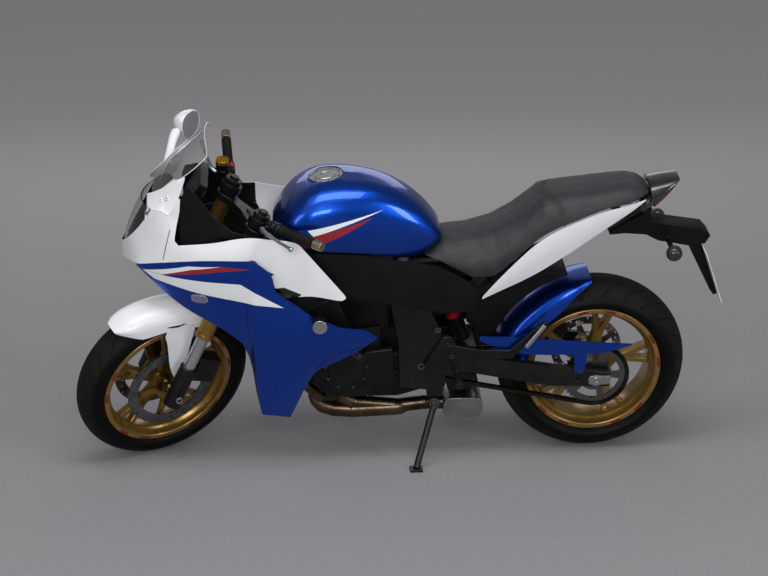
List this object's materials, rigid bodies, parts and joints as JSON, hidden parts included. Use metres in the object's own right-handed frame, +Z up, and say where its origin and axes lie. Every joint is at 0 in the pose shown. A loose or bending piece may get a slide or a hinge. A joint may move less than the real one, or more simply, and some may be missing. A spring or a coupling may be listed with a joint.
{
  "type": "sport motorcycle",
  "caption": "Faired sport motorcycle parked on its side stand with the steering on the left stop; turning wheels, steering and stand, left mirror missing.",
  "frame": {"origin": "on the floor under the middle of the parked machine's bounding box", "axes": "+X towards the front along the rear wheel's track, +Y to the rider's left, +Z up from the floor"},
  "size_m": [2.1174, 0.6656, 1.1491],
  "materials": {
    "blue_paint": "gloss",
    "white_paint": "gloss",
    "black_metal": "satin",
    "engine_black": "satin",
    "black_plastic": "matte",
    "gold_metal": "satin",
    "reservoir_gold": "anodised",
    "bronze_metal": "anodised",
    "chrome_steel": "polished",
    "bare_aluminium": "satin",
    "exhaust_steel": "heat tinted",
    "silencer_steel": "brushed",
    "brake_steel": "ground",
    "chain_steel": "oiled",
    "caliper_metal": "satin",
    "shock_red": "gloss",
    "tyre_rubber": "matte",
    "grip_rubber": "matte",
    "seat_vinyl": "grained",
    "red_lens": "clear gloss",
    "smoke_lens": "smoked gloss",
    "clear_indicator": "clear gloss",
    "headlamp_lens": "clear",
    "clear_screen": "clear",
    "mirror_silver": "polished",
    "plate_white": "blank"
  },
  "bodies": {
    "chassis": {"frame": "black_metal", "subframe": "black_metal", "engine": "engine_black", "engine_covers": "engine_black", "radiator": "bare_aluminium", "exhaust_pipes": "exhaust_steel", "silencer": "silencer_steel", "fuel_tank": "blue_paint", "tank_cap": "bare_aluminium", "seat": "seat_vinyl", "tail_panels": "white_paint", "tail_cover": "black_plastic", "tail_light": "red_lens", "plate_holder": "black_plastic", "licence_plate": "plate_white", "rear_indicators": "smoke_lens", "upper_cowl": "white_paint", "mirror_plates": "white_paint", "headlight": "headlamp_lens", "windscreen": "clear_screen", "mirror_shell": "white_paint", "mirror_glass": "mirror_silver", "side_fairings": "blue_paint", "front_indicators": "clear_indicator", "cockpit": "black_plastic", "side_covers": "black_plastic", "swingarm": "black_metal", "rear_axle": "bare_aluminium", "shock": "shock_red", "hugger": "blue_paint", "chain_guard": "blue_paint", "chain": "chain_steel", "footrests": "black_metal", "foot_pegs": "bare_aluminium", "rear_caliper": "caliper_metal", "crash_bobbins": "bare_aluminium"},
    "steering": {"yokes": "black_metal", "fork_uppers": "gold_metal", "fork_tubes": "chrome_steel", "fork_feet": "black_metal", "front_axle": "bare_aluminium", "handlebars": "black_metal", "grips": "grip_rubber", "bar_ends": "bronze_metal", "controls": "bare_aluminium", "brake_reservoir": "reservoir_gold", "front_mudguard": "white_paint", "front_calipers": "caliper_metal"},
    "front_wheel": {"front_rim": "gold_metal", "front_tyre": "tyre_rubber", "front_discs": "brake_steel"},
    "rear_wheel": {"rear_rim": "gold_metal", "rear_tyre": "tyre_rubber", "rear_sprocket": "brake_steel", "rear_disc": "brake_steel"},
    "side_stand": {"side_stand": "black_metal"}
  },
  "joints": [
    {"name": "steering_turn", "type": "hinge", "parent": "chassis", "child": "steering", "pos_m": [0.52054, 0.00286, 0.77196], "axis": [-0.4177, 0.1807, 0.8904], "range_deg": [-58, 0]},
    {"name": "front_wheel_spin", "type": "hinge", "parent": "steering", "child": "front_wheel", "pos_m": [0.78307, -0.07857, 0.28273], "axis": [-0.4414, 0.8162, -0.3727], "continuous": true},
    {"name": "rear_wheel_spin", "type": "hinge", "parent": "chassis", "child": "rear_wheel", "pos_m": [-0.64971, -0.0923, 0.31062], "axis": [-0.0011, 0.9799, -0.1994], "continuous": true},
    {"name": "side_stand_swing", "type": "hinge", "parent": "chassis", "child": "side_stand", "pos_m": [-0.11529, 0.02326, 0.20357], "axis": [0.1988, 0.8809, 0.4295], "range_deg": [0, 108]}
  ]
}
